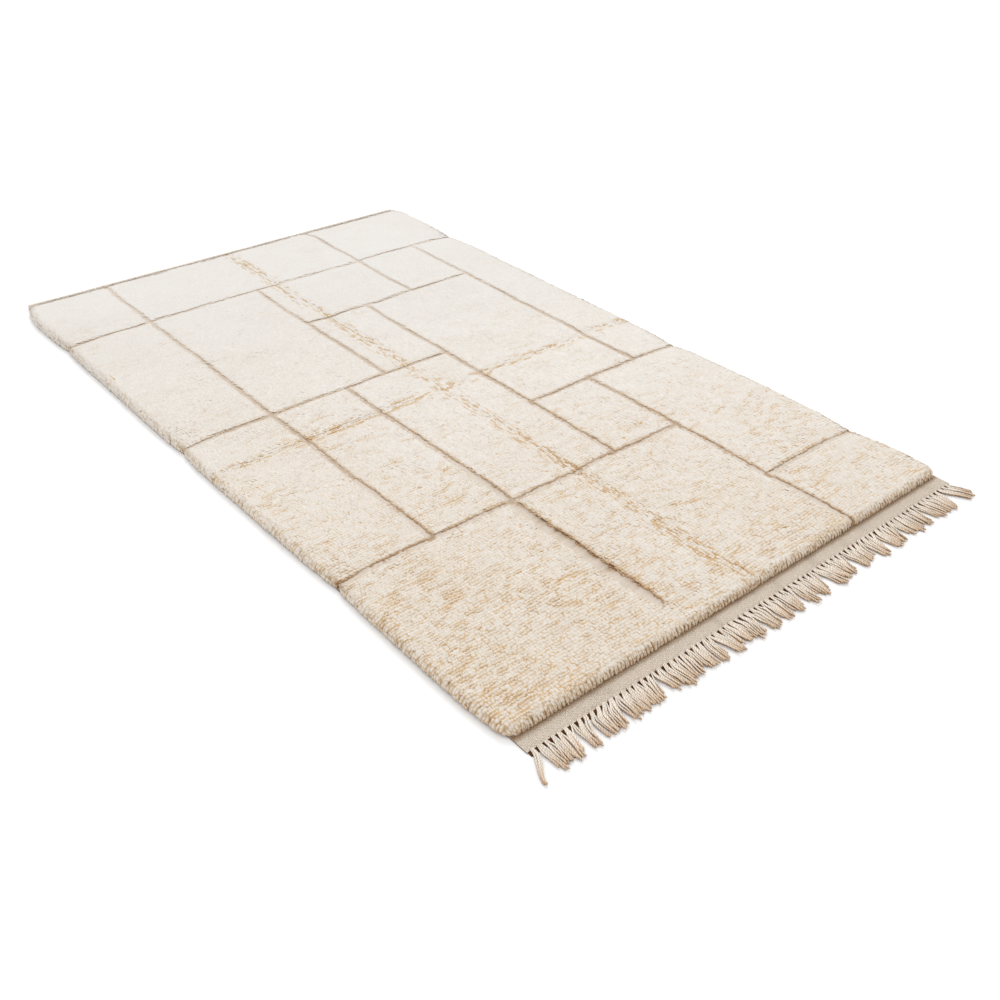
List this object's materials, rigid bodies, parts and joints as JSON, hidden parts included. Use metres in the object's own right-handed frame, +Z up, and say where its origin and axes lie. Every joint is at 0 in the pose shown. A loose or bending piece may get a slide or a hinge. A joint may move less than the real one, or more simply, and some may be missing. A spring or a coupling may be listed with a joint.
{
  "type": "beni ourain rug",
  "caption": "Thick hand-knotted cream wool rug lying flat, with lines carved into its pile, a flat-woven end strip with a cord fringe, and a rolled hem at the other end.",
  "frame": {"origin": "middle of the footprint, on the floor that the rug lies on", "axes": "+Y along the rug's length from the fringed end to the hem, +X across its width, +Z up"},
  "size_m": [1.514, 2.598, 0.0277],
  "materials": {
    "ground_wool": "flat-woven undyed wool, pinkish beige, matte, fine weft ribs",
    "pile_wool": "thick cut wool pile in knotted rows, warm cream tips with tan between them, matte",
    "fringe_wool": "twisted two-ply wool cords, cream with tan shade, matte"
  },
  "bodies": {
    "root": {"ground_weave": "ground_wool", "knotted_pile": "pile_wool", "fringe": "fringe_wool"}
  },
  "joints": []
}
